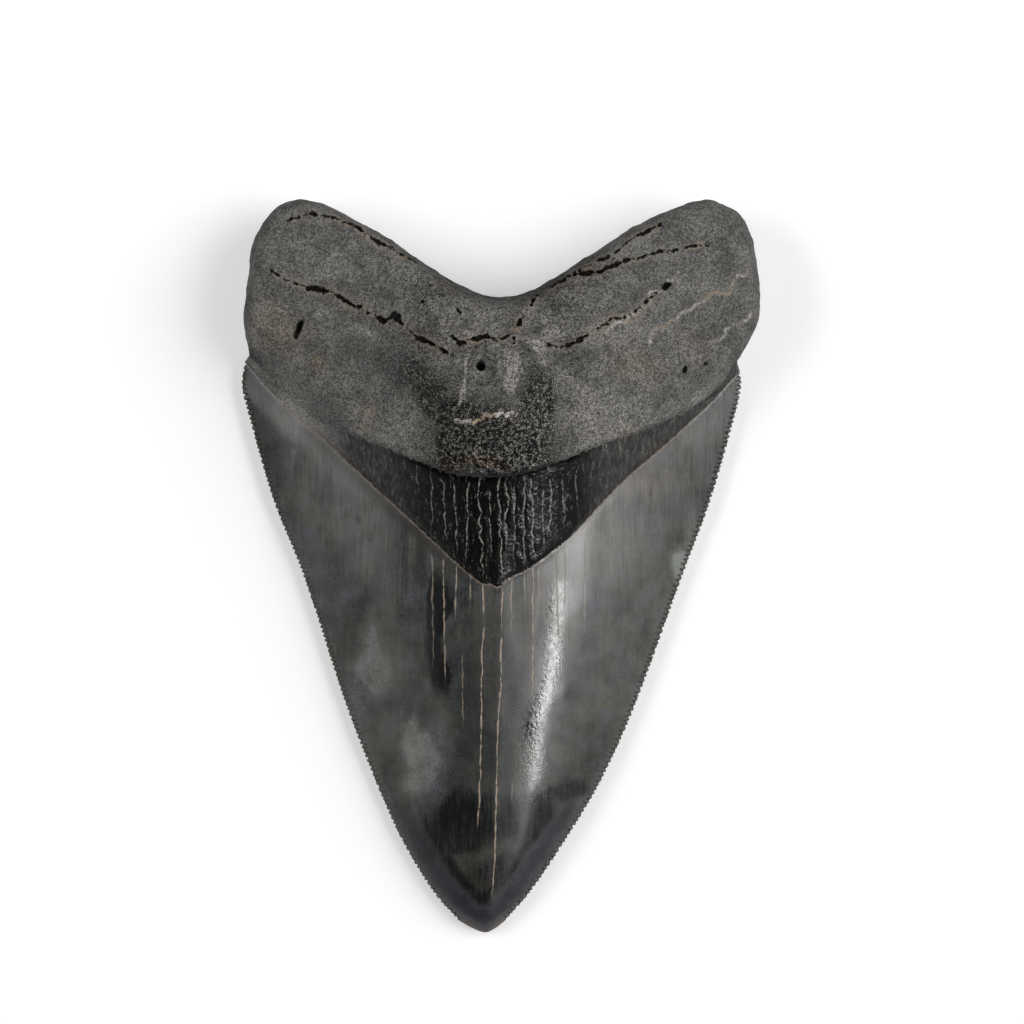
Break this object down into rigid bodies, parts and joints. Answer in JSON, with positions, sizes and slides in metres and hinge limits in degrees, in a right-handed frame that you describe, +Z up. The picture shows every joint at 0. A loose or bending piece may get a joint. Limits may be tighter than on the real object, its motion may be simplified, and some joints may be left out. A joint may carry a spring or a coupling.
{
  "type": "fossil megalodon tooth",
  "caption": "Large triangular fossil shark tooth with serrated cutting edges, a domed crown, a V-shaped band and a thick two-lobed root, lying flat.",
  "frame": {"origin": "under the middle of the tooth's bounding box, on the surface that it lies on", "axes": "+Y from the tip to the root lobes, +Z up out of the domed inner face, +X to the right of someone who looks down on it with the root at the top"},
  "size_m": [0.086, 0.1216, 0.024],
  "materials": {
    "fossil_tooth": "polished slate-grey enamel, glossy near-black band and matt granular grey root"
  },
  "bodies": {
    "root": {"tooth": "fossil_tooth"}
  },
  "joints": []
}
